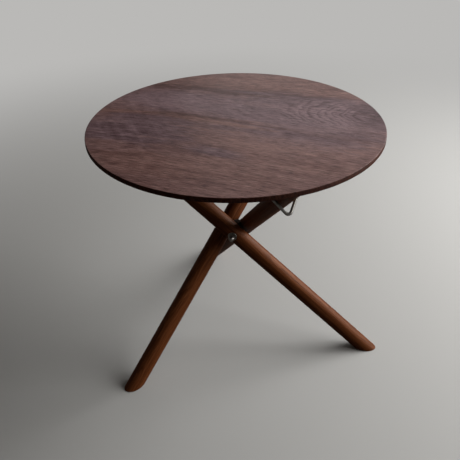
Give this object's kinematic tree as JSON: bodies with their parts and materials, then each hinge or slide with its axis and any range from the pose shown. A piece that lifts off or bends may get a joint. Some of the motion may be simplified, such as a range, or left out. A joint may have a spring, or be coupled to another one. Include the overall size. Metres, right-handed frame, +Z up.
{
  "type": "folding side table",
  "caption": "Round folding side table: crossing round wooden legs turn on a central hub and carry a lift-off round top held by wire bails.",
  "frame": {"origin": "on the floor, under the middle of the outer box of the open table", "axes": "+Z up; +Y away from the viewer of the picture, +X to the viewer's right"},
  "size_m": [0.6196, 0.6276, 0.5254],
  "materials": {
    "top_wood": "oiled dark walnut, satin, open grain",
    "leg_wood": "oiled reddish-brown hardwood, turned and sanded, satin",
    "steel": "plain bright steel, slightly satin",
    "zinc": "zinc-plated steel, dull"
  },
  "bodies": {
    "hub": {"hub_stud": "zinc", "spacer_right": "zinc", "washer_right": "steel", "cap_nut_right": "steel", "spacer_front": "zinc", "washer_front": "steel", "cap_nut_front": "steel", "spacer_back": "zinc", "washer_back": "steel", "cap_nut_back": "steel"},
    "leg_right": {"leg_right": "leg_wood"},
    "leg_front": {"leg_front": "leg_wood"},
    "leg_back": {"leg_back": "leg_wood"},
    "tabletop": {"tabletop": "top_wood", "clip_right_1": "zinc", "clip_right_2": "zinc", "clip_front_1": "zinc", "clip_front_2": "zinc", "clip_back_1": "zinc", "clip_back_2": "zinc", "screw_right_1": "zinc", "screw_right_2": "zinc", "screw_right_3": "zinc", "screw_right_4": "zinc", "screw_front_1": "zinc", "screw_front_2": "zinc", "screw_front_3": "zinc", "screw_front_4": "zinc", "screw_back_1": "zinc", "screw_back_2": "zinc", "screw_back_3": "zinc", "screw_back_4": "zinc"},
    "bail_right": {"bail_right": "steel"},
    "bail_front": {"bail_front": "steel"},
    "bail_back": {"bail_back": "steel"}
  },
  "joints": [
    {"name": "fold_right", "type": "hinge", "parent": "hub", "child": "leg_right", "pos_m": [-0.01587, -0.04044, 0.27951], "axis": [0.2233, 0.9748, 0], "range_deg": [0, 47.83]},
    {"name": "fold_front", "type": "hinge", "parent": "hub", "child": "leg_front", "pos_m": [-0.02981, 0.00486, 0.27951], "axis": [0.7325, -0.6807, 0], "range_deg": [0, 47.83]},
    {"name": "fold_back", "type": "hinge", "parent": "hub", "child": "leg_back", "pos_m": [0.01639, -0.00572, 0.27951], "axis": [-0.9558, -0.294, 0], "range_deg": [0, 47.83]},
    {"name": "top_lift", "type": "slide", "parent": "hub", "child": "tabletop", "axis": [0, 0, 1], "range_m": [0, 0.2505]},
    {"name": "bail_swing_right", "type": "hinge", "parent": "tabletop", "child": "bail_right", "pos_m": [-0.18591, -0.0015, 0.5041], "axis": [0.2233, 0.9748, 0], "range_deg": [0, 47.83]},
    {"name": "bail_swing_front", "type": "hinge", "parent": "tabletop", "child": "bail_front", "pos_m": [0.08894, 0.13265, 0.5041], "axis": [0.7325, -0.6807, 0], "range_deg": [0, 47.83]},
    {"name": "bail_swing_back", "type": "hinge", "parent": "tabletop", "child": "bail_back", "pos_m": [0.06769, -0.17246, 0.5041], "axis": [-0.9558, -0.294, 0], "range_deg": [0, 47.83]}
  ],
  "couplings": [
    {"joint": "fold_front", "follows": "fold_right", "ratio": 1},
    {"joint": "fold_back", "follows": "fold_right", "ratio": 1},
    {"joint": "top_lift", "follows": "fold_right", "m_per_rad": 0.3},
    {"joint": "bail_swing_right", "follows": "fold_right", "ratio": 1},
    {"joint": "bail_swing_front", "follows": "fold_right", "ratio": 1},
    {"joint": "bail_swing_back", "follows": "fold_right", "ratio": 1}
  ]
}
